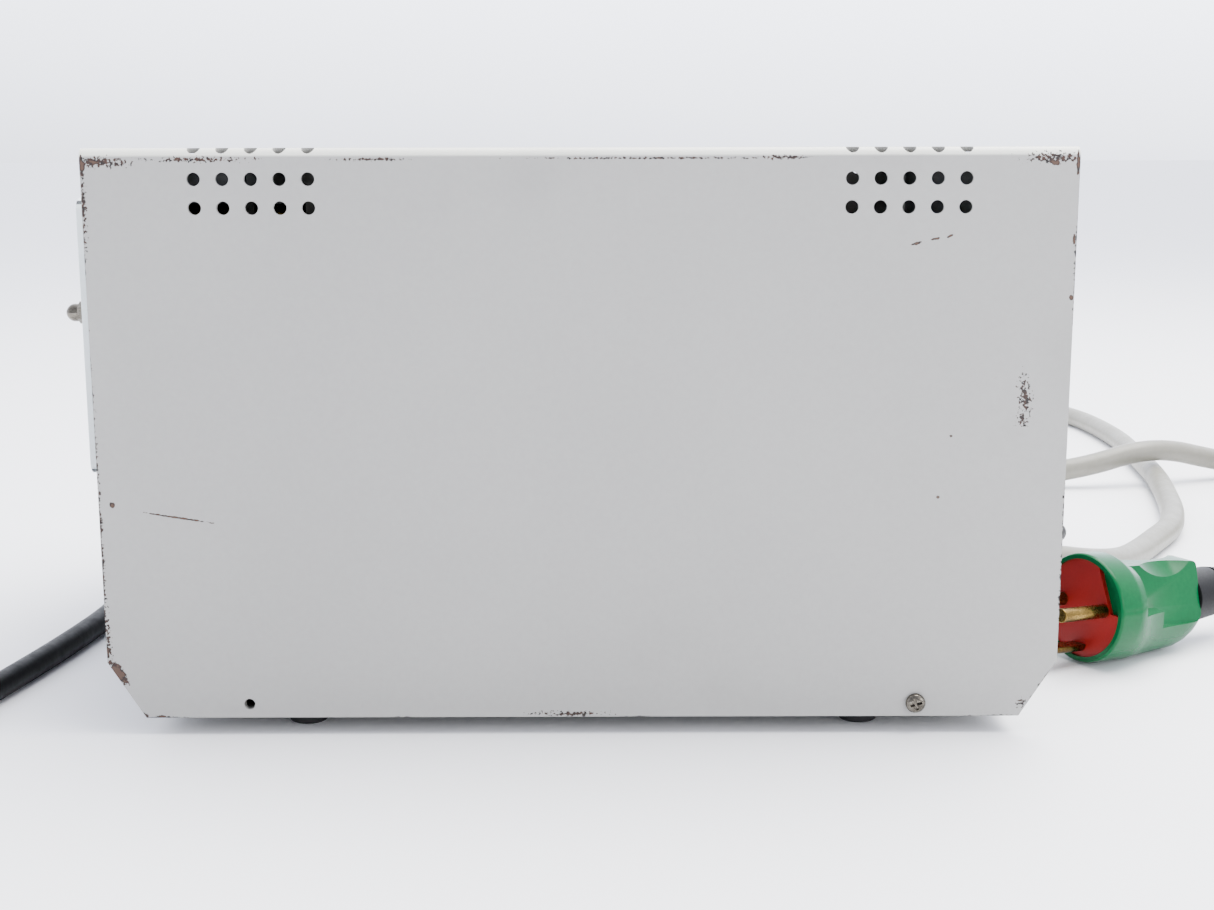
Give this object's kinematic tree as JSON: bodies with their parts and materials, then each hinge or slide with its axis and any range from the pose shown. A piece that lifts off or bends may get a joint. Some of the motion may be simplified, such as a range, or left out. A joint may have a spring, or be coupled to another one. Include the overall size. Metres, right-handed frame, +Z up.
{
  "type": "peristaltic pump",
  "caption": "Bench peristaltic pump: enamelled steel case, roller head with sliding bed and clear hinged cover, gear drive, controls, mains lead and control cable.",
  "frame": {"origin": "on the standing surface, in the middle of the four feet's screw holes", "axes": "+Z up, -X towards the pump head, +X towards the rear panel, -Y towards the side of the case with the missing screw"},
  "size_m": [0.6702, 0.8209, 0.1765],
  "materials": {
    "grey_enamel": "light grey stove enamel, satin",
    "panel_enamel": "darker grey enamel, satin",
    "zinc_steel": "zinc-plated sheet and turned steel",
    "nickel": "bright nickel plate",
    "rubber_black": "matte black rubber",
    "cast_aluminium": "machined and satin anodised aluminium",
    "acetal_white": "white acetal",
    "silicone": "translucent silicone rubber",
    "clear_acrylic": "clear acrylic sheet, polished edges",
    "black_plastic": "black moulded plastic",
    "red_plastic": "red moulded plastic",
    "brass": "turned brass",
    "laminated_steel": "varnished transformer laminations",
    "winding_tape": "yellow polyester tape over copper winding",
    "board_laminate": "green glass-epoxy board",
    "component_black": "moulded component cases",
    "green_plastic": "green moulded plug body",
    "black_pvc": "black PVC sheath",
    "grey_pvc": "pale warm grey PVC sheath",
    "boot_rubber": "dark grey rubber boot",
    "amber_lens": "amber lamp lens"
  },
  "bodies": {
    "root": {"case_cover": "grey_enamel", "chassis_tray": "zinc_steel", "front_panel": "panel_enamel", "rear_panel": "panel_enamel", "rubber_feet": "rubber_black", "cover_screws": "nickel", "head_screws": "zinc_steel", "head_base": "cast_aluminium", "head_bearing": "zinc_steel", "cam_pin": "zinc_steel", "head_block": "cast_aluminium", "guide_rods": "zinc_steel", "bed_springs": "zinc_steel", "pump_tube": "silicone", "hose_barbs": "acetal_white", "cover_hinge_pin": "zinc_steel", "gear_plates": "zinc_steel", "gear_pillars": "brass", "gear_motor": "zinc_steel", "speed_pot": "zinc_steel", "power_switch": "black_plastic", "direction_switch": "nickel", "prime_switch": "black_plastic", "power_lamp": "amber_lens", "transformer_core": "laminated_steel", "transformer_winding": "winding_tape", "control_board": "board_laminate", "board_standoffs": "brass", "board_components": "component_black", "heat_sink": "cast_aluminium", "fuse_holder": "black_plastic", "cord_glands": "black_plastic", "mains_cord": "black_pvc", "mains_coil": "black_pvc", "control_cable": "grey_pvc", "control_coil": "grey_pvc", "control_connector": "black_plastic", "plug_body": "green_plastic", "plug_face": "red_plastic", "plug_pins": "brass", "plug_boot": "boot_rubber"},
    "rotor": {"drive_shaft": "zinc_steel", "rotor_sleeve": "zinc_steel", "cap_nut": "nickel", "rotor_front_disc": "cast_aluminium", "rotor_back_disc": "cast_aluminium", "roller_pins": "zinc_steel", "output_gear": "acetal_white"},
    "roller_one": {"roller_1": "acetal_white"},
    "roller_two": {"roller_2": "acetal_white"},
    "roller_three": {"roller_3": "acetal_white"},
    "motor_rotor": {"motor_pinion": "brass", "motor_shaft": "zinc_steel"},
    "bed": {"occlusion_bed": "acetal_white"},
    "lever": {"cam_lever": "black_plastic"},
    "cover": {"head_cover": "clear_acrylic"},
    "knob": {"speed_knob": "black_plastic"},
    "rocker": {"power_rocker": "red_plastic"},
    "toggle": {"direction_toggle": "nickel"},
    "button": {"prime_button": "red_plastic"}
  },
  "joints": [
    {"name": "rotor_spin", "type": "hinge", "parent": "root", "child": "rotor", "pos_m": [-0.152, 0.01, 0.118], "axis": [1, 0, 0], "continuous": true},
    {"name": "motor_spin", "type": "hinge", "parent": "root", "child": "motor_rotor", "pos_m": [-0.09, 0.01, 0.0805], "axis": [1, 0, 0], "continuous": true},
    {"name": "bed_slide", "type": "slide", "parent": "root", "child": "bed", "axis": [0, 0, 1], "range_m": [0, 0.0035]},
    {"name": "lever_turn", "type": "hinge", "parent": "root", "child": "lever", "pos_m": [-0.152, 0.01, 0.167], "axis": [1, 0, 0], "range_deg": [0, 120]},
    {"name": "cover_swing", "type": "hinge", "parent": "root", "child": "cover", "pos_m": [-0.167, 0.0655, 0.118], "axis": [0, 0, 1], "range_deg": [-110, 0]},
    {"name": "knob_turn", "type": "hinge", "parent": "root", "child": "knob", "pos_m": [-0.14, 0.02, 0.042], "axis": [1, 0, 0], "range_deg": [-140, 140]},
    {"name": "rocker_tilt", "type": "hinge", "parent": "root", "child": "rocker", "pos_m": [-0.13, -0.062, 0.042], "axis": [0, 1, 0], "range_deg": [-9, 9]},
    {"name": "toggle_tilt", "type": "hinge", "parent": "root", "child": "toggle", "pos_m": [-0.137, -0.025, 0.042], "axis": [0, 1, 0], "range_deg": [-12, 12]},
    {"name": "button_press", "type": "slide", "parent": "root", "child": "button", "axis": [1, 0, 0], "range_m": [0, 0.003], "stiffness_N_per_m": 300},
    {"name": "roller_1_spin", "type": "hinge", "parent": "rotor", "child": "roller_one", "pos_m": [-0.152, 0.01, 0.136], "axis": [1, 0, 0], "continuous": true},
    {"name": "roller_2_spin", "type": "hinge", "parent": "rotor", "child": "roller_two", "pos_m": [-0.152, -0.00559, 0.109], "axis": [1, 0, 0], "continuous": true},
    {"name": "roller_3_spin", "type": "hinge", "parent": "rotor", "child": "roller_three", "pos_m": [-0.152, 0.02559, 0.109], "axis": [1, 0, 0], "continuous": true}
  ],
  "couplings": [
    {"joint": "motor_spin", "follows": "rotor_spin", "ratio": -4},
    {"joint": "lever_turn", "follows": "bed_slide", "rad_per_m": 598.39},
    {"joint": "roller_1_spin", "follows": "rotor_spin", "ratio": -3.5714},
    {"joint": "roller_2_spin", "follows": "rotor_spin", "ratio": -3.5714},
    {"joint": "roller_3_spin", "follows": "rotor_spin", "ratio": -3.5714}
  ]
}
